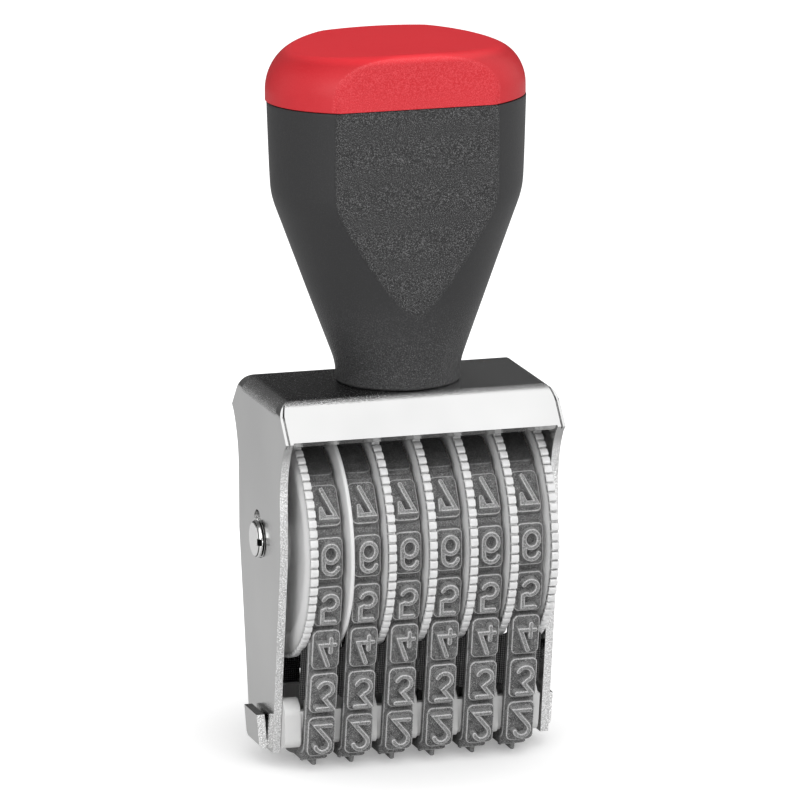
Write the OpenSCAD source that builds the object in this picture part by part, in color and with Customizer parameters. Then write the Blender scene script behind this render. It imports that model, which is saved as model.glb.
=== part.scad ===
// Six-band numbering machine: a hand stamp with a bent steel frame, a two-part
// grip and six rubber number bands, each turned by its own thumb wheel.
// X runs across the bands, -Y is the side the user faces, Z points up.
// The machine stands on its lowest digits at Z = 0.

/* [Bands] */
// Number of rubber bands, each with its own thumb wheel
band_count = 6; // [2:1:8]
// Width of one band
band_w = 4.55; // [3.6:0.05:7]
// Thickness of the fabric-backed strip
band_t = 1.1; // [0.7:0.1:1.6]
// Height of the raised tile under each digit
tile_h = 1.2; // [0.6:0.1:1.8]
// Length of a tile along the band
tile_len = 6.3; // [4.5:0.1:6.4]
// Strip left bare on both long sides of a tile
tile_inset = 0.2; // [0.1:0.05:0.4]
// Height of a digit above its tile
digit_h = 1.1; // [0.6:0.1:1.5]
// Printed height of a digit
digit_size = 5; // [3:0.1:5.4]
// Width of a digit, over its strokes
digit_w = 3; // [2:0.1:3.6]
// Width of a digit's stroke
stroke_w = 0.75; // [0.4:0.05:1]
// Positions between the wheel and the printing line, both sides together
free_positions = 10; // [8:2:12]
// Highest digit on the front side of the band
front_digits = 7; // [5:1:8]

/* [Thumb wheels] */
// Radius of the toothed rim
rim_r = 17.9; // [16.9:0.1:18.4]
// Width of the toothed rim
disc_t = 1.15; // [0.8:0.05:1.6]
// Teeth around the rim
rim_teeth = 76; // [60:2:90]
// Depth of the notches between the teeth
tooth_depth = 0.45; // [0.2:0.05:0.7]
// Share of a tooth's pitch that its flat top takes
tooth_top = 0.6; // [0.4:0.05:0.7]
// Share of a tooth's pitch that each flank takes
tooth_flank = 0.06; // [0.02:0.01:0.12]
// Flats of the hub that carries the band
hub_sides = 12; // [12:4:12]
// Distance from the axle to a hub flat
hub_flat = 12.6; // [12.1:0.1:12.9]
// Side play of a band on its hub, each side
band_play = 0.225; // [0.15:0.025:0.5]
// Offset of each band towards the left end of its hub
band_shift = 0.12; // [0:0.02:0.12]
// Radius of the raised ring on the outside of each disc
boss_r = 6; // [4.5:0.5:9]
// Width of the ring-shaped recess in each disc
dish_w = 8; // [4:0.5:9]
// Depth of the ring-shaped recess in each disc
dish_depth = 0.3; // [0.1:0.05:0.45]

/* [Axle] */
// Height of the axle above the printing line
axle_z = 33.7; // [32:0.1:35]
// Radius of the axle
axle_r = 2.8; // [2:0.1:3.5]
// Length of axle outside each side plate
axle_out = 0.95; // [0.9:0.05:2]
// Chamfer on both axle ends
axle_chamfer = 0.35; // [0.1:0.05:0.6]
// Length of the lock notch in each axle end
notch_len = 0.6; // [0.4:0.05:0.8]
// Width of the lock notch
notch_w = 0.95; // [0.5:0.05:1.4]
// Depth of the lock notch
notch_depth = 1.05; // [0.3:0.05:1.5]
// Width of the groove around the axle beside each side plate
groove_w = 0.25; // [0.15:0.05:0.3]
// Depth of that groove
groove_depth = 0.4; // [0.2:0.05:0.8]
// Radial play of the wheels on the axle
wheel_play = 0.06; // [0.02:0.01:0.1]
// Thickness of the spacer beside the first wheel
spacer_t = 1.46; // [0.8:0.02:3]
// Thickness of the washer beside the last wheel
washer_t = 0.5; // [0.4:0.05:1]
// Outer radius of spacer and washer
spacer_r = 5; // [4.2:0.1:6]
// Thickness of the separator between bands 1 and 2
separator_t = 0.6; // [0.5:0.05:1]
// Radius of the separator
separator_r = 17.4; // [16.8:0.1:18.4]

/* [Frame] */
// Thickness of the frame's steel sheet
sheet_t = 1.25; // [0.8:0.05:1.5]
// Height of the frame's top surface
frame_top = 56.63; // [56:0.1:60]
// Outer radius of the bends along the top
bend_r = 1.5; // [1.2:0.1:2.5]
// Height of the plates' lower ends
frame_foot = 2.44; // [2:0.1:4]
// Depth of the flat top, front to back
top_depth = 19.5; // [18:0.1:22]
// Depth over the tips of the two lips
lip_depth = 29.6; // [28:0.1:31]
// Drop of a plate's sloping edge below the top surface
lip_drop = 5.6; // [4.8:0.1:6]
// Outer radius of the bends between the top and the lips
lip_bend_r = 2.8; // [1.2:0.1:3.4]
// How much shorter a lip is than the sloping edge beside it
lip_short = 0.3; // [0.1:0.05:0.6]
// Plate edge left visible beside a lip's slit
lip_reveal = 0.45; // [0.3:0.05:0.6]
// Width of the slit beside a lip
slit_w = 0.22; // [0.08:0.01:0.3]
// Depth of the slit beside a lip
slit_depth = 0.4; // [0.2:0.05:0.8]
// Depth of the side plates at mid height
plate_depth = 22.4; // [20:0.1:24]
// Height of the hollow curve from a side plate out to a lip
ear_curve_h = 9; // [6:0.1:12]
// Height at which the plates start to narrow
taper_z = 32.9; // [28:0.1:38]
// Depth of the side plates at their lower ends
foot_depth = 12.2; // [10:0.1:15]
// Width of the keyhole slot above each axle hole
key_w = 4; // [2:0.1:5]
// Reach of the keyhole slot's round end from the axle's centre
key_reach = 4.4; // [4:0.1:6]
// Lean of the keyhole slot towards the back, in degrees
key_lean = 25; // [0:1:40]
// Length of the folded tongue, front to back
tongue_len = 6.8; // [5.8:0.1:9]
// Height of the folded tongue's tip
tongue_top = 7.7; // [6.8:0.1:9]
// Opening between plate and tongue at the tongue's tip
tongue_gap = 0.36; // [0.1:0.02:0.8]
// Cut on the tongue's lower rear corner
tongue_cut = 1.2; // [0.4:0.1:2]

/* [Bridge] */
// Half the flat width of the bridge's nose
nose_half = 6.4; // [5:0.1:7]
// Radius of the nose's two edges
nose_r = 1.4; // [1:0.1:2.5]
// Height of the tops of the fins and the cheek
bridge_top = 10.8; // [9.8:0.1:12]
// Height of the bridge's walls between the fins
wall_top = 9.1; // [8:0.1:9.6]
// Wall of the bridge
bridge_wall = 1.3; // [1:0.1:2]
// Thickness of a guide fin between two bands
fin_t = 0.85; // [0.6:0.05:0.9]
// Half the front-to-back depth of the fins and the cheek
fin_half = 8.7; // [8:0.1:9.5]
// Rounding of their upper corners
fin_round = 2.4; // [1:0.1:3]
// Rounding of their lower corners
fin_foot_round = 1.4; // [0.8:0.1:1.5]
// Thickness of the left end cheek
cheek_t = 2.4; // [1.5:0.1:2.5]
// Width of the tenon that sits in each side plate
tenon_w = 5.2; // [3:0.1:5.4]
// Height of the tenon
tenon_h = 2; // [1.2:0.1:2.4]
// Height of the tenon's middle
tenon_z = 5.3; // [4.8:0.1:5.8]

/* [Grip] */
// Radius of the round neck
neck_r = 9.25; // [8:0.05:10]
// Height of the neck above the frame
neck_h = 2.5; // [2:0.1:4]
// Half the grip's width at the shoulder
shoulder_half = 18.95; // [17:0.05:20]
// Height of the shoulder above the frame
shoulder_h = 28.5; // [24:0.5:32]
// Half the grip's width at the seam
seam_half = 19.6; // [18:0.1:22]
// Height of the seam above the frame
seam_h = 42.5; // [38:0.5:48]
// Depth of the oval section as a share of its width
oval = 0.73; // [0.65:0.01:0.85]
// Half depth between the facets at the neck
facet_low = 10.18; // [9.4:0.02:11]
// Half depth between the facets at the cap's top
facet_high = 11.4; // [10.8:0.1:12]
// Height of the cap's highest point above the seam
cap_h = 8.9; // [8.4:0.1:12]
// Radius of the cap's arched top, seen from the front
cap_arch_r = 60; // [54:1:120]
// How far the rounding reaches in from the cap's side
cap_round = 4.7; // [3:0.1:6]
// Height of the cap's upright side at its left and right ends
cap_side_h = 0.7; // [0.4:0.1:2]
// Radius of the cap's plug
plug_r = 8; // [5:0.5:9]
// Length of the cap's plug
plug_h = 6; // [3:0.5:9]

/* [Grip screw] */
// Radius of the screw
screw_r = 2; // [1.5:0.1:2.5]
// Length of the screw below its head
screw_len = 18; // [12:1:26]
// Radius of the screw's head
screw_head_r = 3.6; // [3:0.1:4.2]
// Height of the screw's head
screw_head_h = 1.6; // [1:0.1:1.9]
// Width of the slot in the screw's head
screw_slot_w = 0.9; // [0.6:0.1:1.4]
// Depth of the slot in the screw's head
screw_slot_depth = 0.8; // [0.4:0.1:0.9]
// Radius of the washer under the head
screw_washer_r = 5; // [4.3:0.1:7]
// Thickness of the washer under the head
screw_washer_t = 0.8; // [0.5:0.1:1]

/* [Clearances] */
// Gap between neighbouring pieces on the axle
side_gap = 0.1; // [0.06:0.02:0.2]
// Gap between the end spacers and the side plates
end_gap = 0.05; // [0.02:0.01:0.1]
// Gap between a hub flat and its band
hub_gap = 0.2; // [0.1:0.05:0.3]
// Gap between a seated piece and its hole or slot
seat_gap = 0.05; // [0.02:0.01:0.1]
// Gap between a band's side and a guide fin
fin_gap = 0.12; // [0.08:0.02:0.2]

/* [Hidden] */
FIXED_NODES = ["frame_shell", "grip_body", "grip_cap", "grip_screw", "screw_washer", "axle",
    "axle_spacer", "axle_washer", "band_separator", "bridge"];
WHEEL_NODES = [for (k = [1:band_count]) str("thumb_wheel_", k)];
BAND_NODES = [for (k = [1:band_count]) str("number_band_", k)];
$fn = 96;
// cuts run this far past the faces they open
cut = 1;
// slices that a hull joins are this thick
slice_t = 0.02;
// points around a digit's ring and along a digit's arc
ring_points = 24;
arc_points = 10;
// points around the cap, steps of its rounding and rings of its top
cap_points = 72;
cap_steps = 8;
top_rings = 5;

// the stack of pieces along the axle, between the side plates
hub_len = band_w + 2 * band_play;
wheel_pitch = hub_len + disc_t + side_gap;
inner_w = 2 * end_gap + spacer_t + side_gap + wheel_pitch + separator_t + side_gap
    + (band_count - 1) * wheel_pitch + washer_t;
frame_w = inner_w + 2 * sheet_t;
plate_x = inner_w / 2;
spacer_x = -plate_x + end_gap;
first_disc_x = spacer_x + spacer_t + side_gap;
first_hub_x = first_disc_x + disc_t;
separator_x = first_hub_x + hub_len + side_gap;
second_hub_x = separator_x + separator_t + side_gap;
washer_x = plate_x - end_gap - washer_t;

// the hub of wheel k starts here; wheel 1 has its disc on the left, the others on the right
function hub_x(k) = k == 1 ? first_hub_x : second_hub_x + (k - 2) * wheel_pitch;
function disc_x(k) = k == 1 ? first_disc_x : hub_x(k) + hub_len;
function band_x(k) = hub_x(k) + hub_len / 2 - band_shift;

// the band's middle layer: flats on the hub, two straights and a flat over the bridge
half_step = 180 / hub_sides;
mid_flat = hub_flat + hub_gap + band_t / 2;
nose_z = digit_h + tile_h + band_t;
corner_r = nose_r + band_t / 2;
corner_z = nose_z + nose_r;
leave_y = mid_flat;
leave_z = axle_z - mid_flat * tan(half_step);
corner_dist = norm([leave_y - nose_half, leave_z - corner_z]);
lean = atan2(leave_y - nose_half, leave_z - corner_z) - asin(corner_r / corner_dist);
straight_len = sqrt(pow(corner_dist, 2) - pow(corner_r, 2));
corner_len = corner_r * (90 - lean) * PI / 180;
free_half = nose_half + corner_len + straight_len;
free_pitch = 2 * free_half / free_positions;
wheel_positions = hub_sides / 2 + 1;
positions = free_positions + wheel_positions;
straight_dist = mid_flat * (cos(lean) + tan(half_step) * sin(lean));

// place of the middle layer at path length s in front of the printing line: [y, z, facing angle]
function free_pose(s) =
    s < nose_half ? [-s, nose_z - band_t / 2, -90] :
    s < nose_half + corner_len ? corner_pose((s - nose_half) / corner_r * 180 / PI) :
    straight_pose(s - nose_half - corner_len);
function corner_pose(turn) =
    [-nose_half - corner_r * sin(turn), corner_z - corner_r * cos(turn), turn - 90];
function straight_pose(t) =
    [-nose_half - corner_r * cos(lean) - t * sin(lean),
     corner_z - corner_r * sin(lean) + t * cos(lean), -lean];
function wheel_pose(a) = [-mid_flat * cos(a), axle_z + mid_flat * sin(a), a];
function behind(p) = [-p[0], p[1], 180 - p[2]];

// position i counts up the front, over the wheel and down the back
function tile_pose(i) =
    i < free_positions / 2 ? free_pose((i + 0.5) * free_pitch) :
    i < free_positions / 2 + wheel_positions ? wheel_pose((i - free_positions / 2) * 2 * half_step) :
    behind(free_pose((positions - i - 0.5) * free_pitch));
function digit_at(i) =
    i < front_digits ? i + 1 :
    i >= positions - 10 + front_digits ? (i + 11 - positions) % 10 : -1;

// digit strokes as centre lines: shares of a box of half width cx and half height cy
cx = (digit_w - stroke_w) / 2;
cy = (digit_size - stroke_w) / 2;
bowl_y = cy - cx;
// half height of the ring in a 6 or a 9
ring_half = 0.6 * cy;
function arc(y, from, to) =
    [for (j = [0:arc_points - 1]) let (a = from + (to - from) * j / (arc_points - 1))
        [cx * cos(a), y + cx * sin(a)]];
function digit_lines(d) =
    d == 1 ? [[[-0.7 * cx, 0.45 * cy], [0.1 * cx, cy], [0.1 * cx, -cy]]] :
    d == 2 ? [concat(arc(bowl_y, 165, -40), [[-cx, -cy], [cx, -cy]])] :
    d == 3 ? [concat([[-cx, cy], [cx, cy], [-0.1 * cx, 0.25 * cy]], arc(-bowl_y, 70, -150))] :
    d == 4 ? [[[0.1 * cx, cy], [-cx, -0.55 * cy], [cx, -0.55 * cy]],
              [[0.4 * cx, 0], [0.4 * cx, -cy]]] :
    d == 5 ? [concat([[0.7 * cx, cy], [-0.95 * cx, cy], [-cx, 0.1 * cy]], arc(-bowl_y, 120, -150))] :
    d == 6 ? [concat([[-cx, ring_half - cy]], arc(bowl_y, 180, 20))] :
    d == 7 ? [[[-cx, 0.7 * cy], [-cx, cy], [cx, cy], [-0.5 * cx, -cy]]] :
    d == 9 ? [concat([[cx, cy - ring_half]], arc(-bowl_y, 0, -160))] : [];
// rings of a digit: [height of the middle, half height]
function digit_rings(d) =
    d == 0 ? [[0, cy]] :
    d == 6 ? [[ring_half - cy, ring_half]] :
    d == 8 ? [[cy / 2, cy / 2], [-cy / 2, cy / 2]] :
    d == 9 ? [[cy - ring_half, ring_half]] : [];

// side plate outline
ear_half = lip_depth / 2;
ear_z = frame_top - lip_drop;
lip_run = ear_half - top_depth / 2;
lip_len = norm([lip_run, lip_drop]);
lip_slope = atan2(lip_drop, lip_run);
bend_run = lip_bend_r * tan(lip_slope / 2);
inner_ridge = top_depth / 2 - sheet_t * tan(lip_slope / 2);
ear_run = ear_half - sheet_t * sin(lip_slope) - plate_depth / 2;
ear_rise = ear_curve_h - sheet_t * cos(lip_slope);
ear_r = (pow(ear_run, 2) + pow(ear_rise, 2)) / (2 * ear_run);

// grip
neck_z = frame_top + neck_h;
shoulder_z = frame_top + shoulder_h;
seam_z = frame_top + seam_h;
cap_z = seam_z + cap_h;
cap_round_h = cap_h - cap_side_h - pow(seam_half, 2) / (2 * cap_arch_r);
screw_hole_len = screw_len - sheet_t - screw_washer_t + cut;

// a flat shape in the Y-Z plane, t thick along X, from x
module across(x, t) {
    translate([x, 0, 0]) rotate([90, 0, 90]) linear_extrude(t) children();
}

// a solid cylinder along X
module rod(x, len, r) {
    translate([x, 0, axle_z]) rotate([0, 90, 0]) cylinder(h = len, r = r);
}

// one stroke of a digit: a line of even width with mitred corners
function mitre(line, j) =
    let (n = len(line), a = line[max(j - 1, 0)], b = line[j], c = line[min(j + 1, n - 1)],
         u = j == 0 ? (c - b) / norm(c - b) : (b - a) / norm(b - a),
         v = j == n - 1 ? u : (c - b) / norm(c - b),
         m = (u + v) / norm(u + v))
    [-m[1], m[0]] / (m * u);
function stroke_side(line, side) =
    [for (j = [0:len(line) - 1]) line[j] + side * stroke_w / 2 * mitre(line, j)];
function reversed(list) = [for (j = [len(list) - 1:-1:0]) list[j]];
module stroke(line) {
    polygon(concat(stroke_side(line, 1), reversed(stroke_side(line, -1))));
}
module ring_edge(y, ry, off) {
    polygon([for (j = [0:ring_points - 1]) let (a = 360 * j / ring_points)
        [(cx + off) * cos(a), y + (ry + off) * sin(a)]]);
}
module ring_stroke(y, ry) {
    difference() {
        ring_edge(y, ry, stroke_w / 2);
        ring_edge(y, ry, -stroke_w / 2);
    }
}

// the digit as it stands on the band: mirrored top to bottom, so that it prints the right way
module digit_shape(d) {
    mirror([0, 1, 0]) {
        for (r = digit_rings(d)) ring_stroke(r[0], r[1]);
        for (line = digit_lines(d)) stroke(line);
    }
}

// the band's outline, moved out from its middle layer by off
module loop_shape(off) {
    r = corner_r + off;
    y_leave = -mid_flat - off;
    z_leave = axle_z + (-cos(lean) * y_leave - straight_dist - off) / sin(lean);
    hub_r = (mid_flat + off) / cos(half_step);
    over = [for (j = [1:wheel_positions - 1]) let (a = (2 * j - 1) * half_step)
        [-hub_r * cos(a), axle_z + hub_r * sin(a)]];
    foot = [-nose_half - r * cos(lean), corner_z - r * sin(lean)];
    polygon(concat(
        [[-nose_half, corner_z - r], foot, [y_leave, z_leave]], over,
        [[-y_leave, z_leave], [-foot[0], foot[1]], [nose_half, corner_z - r]]));
    for (side = [-1, 1]) translate([side * nose_half, corner_z]) circle(r);
}

// a point on a lip's outer face, d below the ridge, moved in by depth
function on_lip(d, depth = 0) =
    [-top_depth / 2 - d * cos(lip_slope) + depth * sin(lip_slope),
     frame_top - d * sin(lip_slope) - depth * cos(lip_slope)];
function rear(p) = [-p[0], p[1]];

// frame: one bent sheet with two side plates, a flat top and a lip in front and behind
module frame_outline() {
    ear_curve = [for (j = [0:arc_points]) let (a = asin(ear_rise / ear_r) * j / arc_points)
        [-plate_depth / 2 - ear_r * (1 - cos(a)), ear_z - ear_curve_h + ear_r * sin(a)]];
    front_half = concat([[-foot_depth / 2, frame_foot], [-plate_depth / 2, taper_z]], ear_curve,
        [[-ear_half, ear_z], on_lip(bend_run), [bend_run - top_depth / 2, frame_top]]);
    polygon(concat(front_half, [for (p = reversed(front_half)) rear(p)]));
    for (side = [-1, 1])
        translate([side * (top_depth / 2 - bend_run), frame_top - lip_bend_r]) circle(lip_bend_r);
}
module frame_cavity() {
    lip_end = lip_len - lip_short;
    far = ear_half + cut;
    front_half = [[-far, -cut], [-far, on_lip(lip_end)[1]], on_lip(lip_end), on_lip(lip_end, sheet_t),
        [-inner_ridge, frame_top - sheet_t]];
    polygon(concat(front_half, [for (p = reversed(front_half)) rear(p)]));
}
module rounded_section() {
    union() {
        translate([-frame_w / 2, 0]) square([frame_w, frame_top - bend_r]);
        translate([bend_r - frame_w / 2, 0]) square([frame_w - 2 * bend_r, frame_top]);
        for (side = [-1, 1])
            translate([side * (frame_w / 2 - bend_r), frame_top - bend_r]) circle(bend_r);
    }
}
module lip_slits() {
    start = 2 * bend_run;
    for (side = [-1, 1])
        translate([side * (frame_w / 2 - lip_reveal - slit_w / 2) - slit_w / 2, -top_depth / 2, frame_top])
            rotate([lip_slope, 0, 0]) translate([0, -lip_len - cut, -slit_depth])
                cube([slit_w, lip_len + cut - start, slit_depth + cut]);
}
module tongue() {
    fold_z = frame_foot + sheet_t;
    x = frame_w / 2;
    half = tongue_len / 2;
    intersection() {
        translate([0, half, 0]) rotate([90, 0, 0]) linear_extrude(tongue_len)
            polygon([[x - sheet_t / 2, frame_foot], [x + sheet_t / 2, frame_foot],
                [x + sheet_t, frame_foot + sheet_t / 2], [x + tongue_gap + sheet_t, tongue_top],
                [x + tongue_gap, tongue_top], [x, fold_z], [x - sheet_t / 2, fold_z]]);
        across(x - sheet_t, 3 * sheet_t + tongue_gap) polygon([[-half - cut, frame_foot - cut],
            [-half - cut, tongue_top + cut], [half, tongue_top + cut],
            [half, frame_foot + tongue_cut], [half - tongue_cut, frame_foot],
            [half - tongue_cut, frame_foot - cut]]);
    }
}
module key_slot() {
    rotate([-key_lean, 0, 0]) translate([-frame_w / 2 - cut, 0, 0]) rotate([90, 0, 90])
        linear_extrude(frame_w + 2 * cut) hull() {
            circle(key_w / 2);
            translate([0, key_reach - key_w / 2]) circle(key_w / 2);
        }
}
module frame_shell() {
    color("silver") difference() {
        union() {
            difference() {
                intersection() {
                    across(-frame_w / 2, frame_w) frame_outline();
                    translate([0, lip_depth, 0]) rotate([90, 0, 0])
                        linear_extrude(2 * lip_depth) rounded_section();
                }
                across(-plate_x, inner_w) frame_cavity();
                lip_slits();
                mirror([0, 1, 0]) lip_slits();
            }
            tongue();
            mirror([1, 0, 0]) tongue();
        }
        rod(-frame_w / 2 - cut, frame_w + 2 * cut, axle_r + seat_gap);
        translate([0, 0, axle_z]) key_slot();
        for (side = [-1, 1])
            translate([side * (plate_x + sheet_t / 2), 0, tenon_z])
                cube([sheet_t + 2 * seat_gap, tenon_w + 2 * seat_gap, tenon_h + 2 * seat_gap], center = true);
        translate([0, 0, frame_top - sheet_t - cut]) cylinder(h = sheet_t + 2 * cut, r = screw_r + seat_gap);
    }
}

// grip: an oval flaring body with a flat front and back, and a cap pressed into its top
module oval_slice(z, half) {
    translate([0, 0, z]) linear_extrude(slice_t) scale([1, oval]) circle(half, $fn = 72);
}
module facets() {
    x = seam_half + cut;
    across(-x, 2 * x) polygon([[-facet_low, frame_top], [facet_low, frame_top],
        [facet_high, cap_z + cut], [-facet_high, cap_z + cut]]);
}
module grip_body() {
    color("dimgray") difference() {
        union() {
            translate([0, 0, frame_top]) cylinder(h = neck_h, r = neck_r);
            intersection() {
                union() {
                    hull() {
                        translate([0, 0, neck_z - slice_t]) cylinder(h = slice_t, r = neck_r, $fn = 72);
                        oval_slice(shoulder_z, shoulder_half);
                    }
                    hull() {
                        oval_slice(shoulder_z, shoulder_half);
                        oval_slice(seam_z - slice_t, seam_half);
                    }
                }
                facets();
            }
        }
        translate([0, 0, seam_z - plug_h - seat_gap]) cylinder(h = plug_h + cut, r = plug_r + seat_gap);
        translate([0, 0, frame_top - cut]) cylinder(h = screw_hole_len + cut, r = screw_r + seat_gap);
    }
}
// a ring of the cap's surface, set in from its side and dropped below its arched top
function cap_ring(inset, drop, share = 1) =
    [for (i = [0:cap_points - 1]) let (a = 360 * i / cap_points, x = share * (seam_half - inset) * cos(a))
        [x, share * (oval * seam_half - inset) * sin(a), cap_z - pow(x, 2) / (2 * cap_arch_r) - drop]];
module cap_shape() {
    n = cap_points;
    side = cap_ring(0, cap_round_h);
    rounding = [for (j = [1:cap_steps]) let (a = 90 * j / cap_steps)
        cap_ring(cap_round * (1 - cos(a)), cap_round_h * (1 - sin(a)))];
    top = [for (j = [1:top_rings - 1]) cap_ring(cap_round, 0, 1 - j / top_rings)];
    foot = [for (p = side) [p[0], p[1], seam_z]];
    stack = concat([foot, side], rounding, top);
    last = len(stack) - 1;
    points = concat([for (ring = stack, p = ring) p], [[0, 0, cap_z]]);
    walls = [for (j = [0:last - 1], i = [0:n - 1]) let (k = (i + 1) % n)
        each [[j * n + i, (j + 1) * n + i, j * n + k], [j * n + k, (j + 1) * n + i, (j + 1) * n + k]]];
    lid = [for (i = [0:n - 1]) [last * n + i, (last + 1) * n, last * n + (i + 1) % n]];
    polyhedron(points, concat([[for (i = [0:n - 1]) i]], walls, lid), convexity = 2);
}
module grip_cap() {
    color("crimson") union() {
        intersection() {
            cap_shape();
            facets();
        }
        translate([0, 0, seam_z - plug_h]) cylinder(h = plug_h + cut, r = plug_r);
    }
}
module grip_screw() {
    head_z = frame_top - sheet_t - screw_washer_t - screw_head_h;
    color("gainsboro") difference() {
        union() {
            translate([0, 0, head_z]) cylinder(h = screw_head_h, r = screw_head_r);
            translate([0, 0, head_z + screw_head_h]) cylinder(h = screw_len, r = screw_r);
        }
        translate([-screw_head_r - cut, -screw_slot_w / 2, head_z - cut])
            cube([2 * (screw_head_r + cut), screw_slot_w, screw_slot_depth + cut]);
    }
}
module screw_washer() {
    color("gainsboro") translate([0, 0, frame_top - sheet_t - screw_washer_t]) difference() {
        cylinder(h = screw_washer_t, r = screw_washer_r);
        translate([0, 0, -cut]) cylinder(h = screw_washer_t + 2 * cut, r = screw_r + seat_gap);
    }
}

// axle and what sits on it between the wheels and the side plates
module axle() {
    half = frame_w / 2 + axle_out;
    color("gainsboro") difference() {
        union() {
            rod(axle_chamfer - half, 2 * (half - axle_chamfer), axle_r);
            for (side = [-1, 1])
                translate([side * (half - axle_chamfer), 0, axle_z]) rotate([0, 90 * side, 0])
                    cylinder(h = axle_chamfer, r1 = axle_r, r2 = axle_r - axle_chamfer);
        }
        for (side = [-1, 1]) {
            translate([side * (half + (cut - notch_len) / 2), -axle_r, axle_z])
                cube([notch_len + cut, 2 * notch_depth, notch_w], center = true);
            axle_ring(side * (frame_w + groove_w) / 2 - groove_w / 2, groove_w, axle_r + cut,
                axle_r - groove_depth);
        }
    }
}
module axle_ring(x, t, r, bore) {
    difference() {
        rod(x, t, r);
        rod(x - cut, t + 2 * cut, bore);
    }
}
module axle_spacer() {
    color("gainsboro") axle_ring(spacer_x, spacer_t, spacer_r, axle_r + seat_gap);
}
module axle_washer() {
    color("gainsboro") axle_ring(washer_x, washer_t, spacer_r, axle_r + seat_gap);
}
module band_separator() {
    color("lightgray") axle_ring(separator_x, separator_t, separator_r, axle_r + seat_gap);
}

// bridge: the moulded nose that the bands run over, held by a tenon in each side plate
module nose_outline(off) {
    intersection() {
        loop_shape(off);
        translate([-rim_r, 0]) square([2 * rim_r, wall_top]);
    }
}
module fin_outline() {
    mid_low = nose_z + fin_foot_round;
    mid_high = bridge_top - fin_round;
    difference() {
        union() {
            translate([-fin_half, mid_low]) square([2 * fin_half, mid_high - mid_low]);
            translate([fin_round - fin_half, mid_low])
                square([2 * (fin_half - fin_round), bridge_top - mid_low]);
            translate([fin_foot_round - fin_half, nose_z])
                square([2 * (fin_half - fin_foot_round), mid_high - nose_z]);
            for (side = [-1, 1]) {
                translate([side * (fin_half - fin_round), mid_high]) circle(fin_round);
                translate([side * (fin_half - fin_foot_round), mid_low]) circle(fin_foot_round);
            }
        }
        translate([fin_round - fin_half, wall_top])
            square([2 * (fin_half - fin_round), bridge_top - wall_top + cut]);
    }
}
module bridge() {
    skin = -band_t / 2 - seat_gap;
    left_x = -plate_x + end_gap;
    last_fin_x = band_x(band_count) + band_w / 2 + fin_gap;
    color("whitesmoke") union() {
        across(left_x, cheek_t) fin_outline();
        difference() {
            across(left_x + cheek_t / 2, last_fin_x - left_x) nose_outline(skin);
            across(left_x + cheek_t, last_fin_x - left_x - cheek_t) difference() {
                loop_shape(skin - bridge_wall);
                translate([-rim_r, bridge_top + cut]) square(2 * rim_r);
            }
        }
        for (k = [2:band_count]) across(band_x(k) + band_w / 2 + fin_gap, fin_t) fin_outline();
        translate([-plate_x - sheet_t, -tenon_w / 2, tenon_z - tenon_h / 2])
            cube([sheet_t + end_gap + cut, tenon_w, tenon_h]);
        translate([last_fin_x, -tenon_w / 2, tenon_z - tenon_h / 2])
            cube([plate_x + sheet_t - last_fin_x, tenon_w, tenon_h]);
    }
}

// thumb wheel k: a toothed disc and a many-sided hub in one moulding
module rim_shape() {
    step = 360 / rim_teeth;
    half = tooth_top / 2;
    foot = half + tooth_flank;
    polygon([for (j = [0:rim_teeth - 1], c = [[-half, 0], [half, 0], [foot, 1], [1 - foot, 1]])
        let (r = rim_r - c[1] * tooth_depth) [r * cos((j + c[0]) * step), r * sin((j + c[0]) * step)]]);
}
module thumb_wheel(k) {
    x = disc_x(k);
    outer = k == 1 ? -1 : 1;
    dish_x = outer < 0 ? x - cut : x + disc_t - dish_depth;
    color("white") difference() {
        union() {
            translate([x, 0, axle_z]) rotate([0, 90, 0]) linear_extrude(disc_t) rim_shape();
            translate([hub_x(k), 0, axle_z]) rotate([0, 90, 0]) rotate([0, 0, half_step])
                cylinder(h = hub_len, r = hub_flat / cos(half_step), $fn = hub_sides);
        }
        rod(min(x, hub_x(k)) - cut, wheel_pitch + 2 * cut, axle_r + wheel_play);
        difference() {
            rod(dish_x, dish_depth + cut, boss_r + dish_w);
            rod(dish_x - cut, dish_depth + 3 * cut, boss_r);
        }
    }
}

// number band k: a fabric-backed rubber loop with a raised tile at every position
module number_band(k) {
    tile_w = band_w - 2 * tile_inset;
    color("gray") translate([band_x(k), 0, 0]) union() {
        across(-band_w / 2, band_w) difference() {
            loop_shape(band_t / 2);
            loop_shape(-band_t / 2);
        }
        for (i = [0:positions - 1]) {
            p = tile_pose(i);
            translate([0, p[0], p[1]]) rotate([90 - p[2], 0, 0]) {
                translate([-tile_w / 2, -tile_len / 2, 0]) cube([tile_w, tile_len, band_t / 2 + tile_h]);
                if (digit_at(i) >= 0)
                    translate([0, 0, (band_t + tile_h) / 2]) linear_extrude(tile_h / 2 + digit_h)
                        digit_shape(digit_at(i));
            }
        }
    }
}

frame_shell();
grip_body();
grip_cap();
grip_screw();
screw_washer();
axle();
axle_spacer();
axle_washer();
band_separator();
bridge();
for (k = [1:band_count]) thumb_wheel(k);
for (k = [1:band_count]) number_band(k);
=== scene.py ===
import contextlib
import functools
import math

import bmesh
import bpy
import numpy as np
from mathutils import Matrix, Vector


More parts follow.
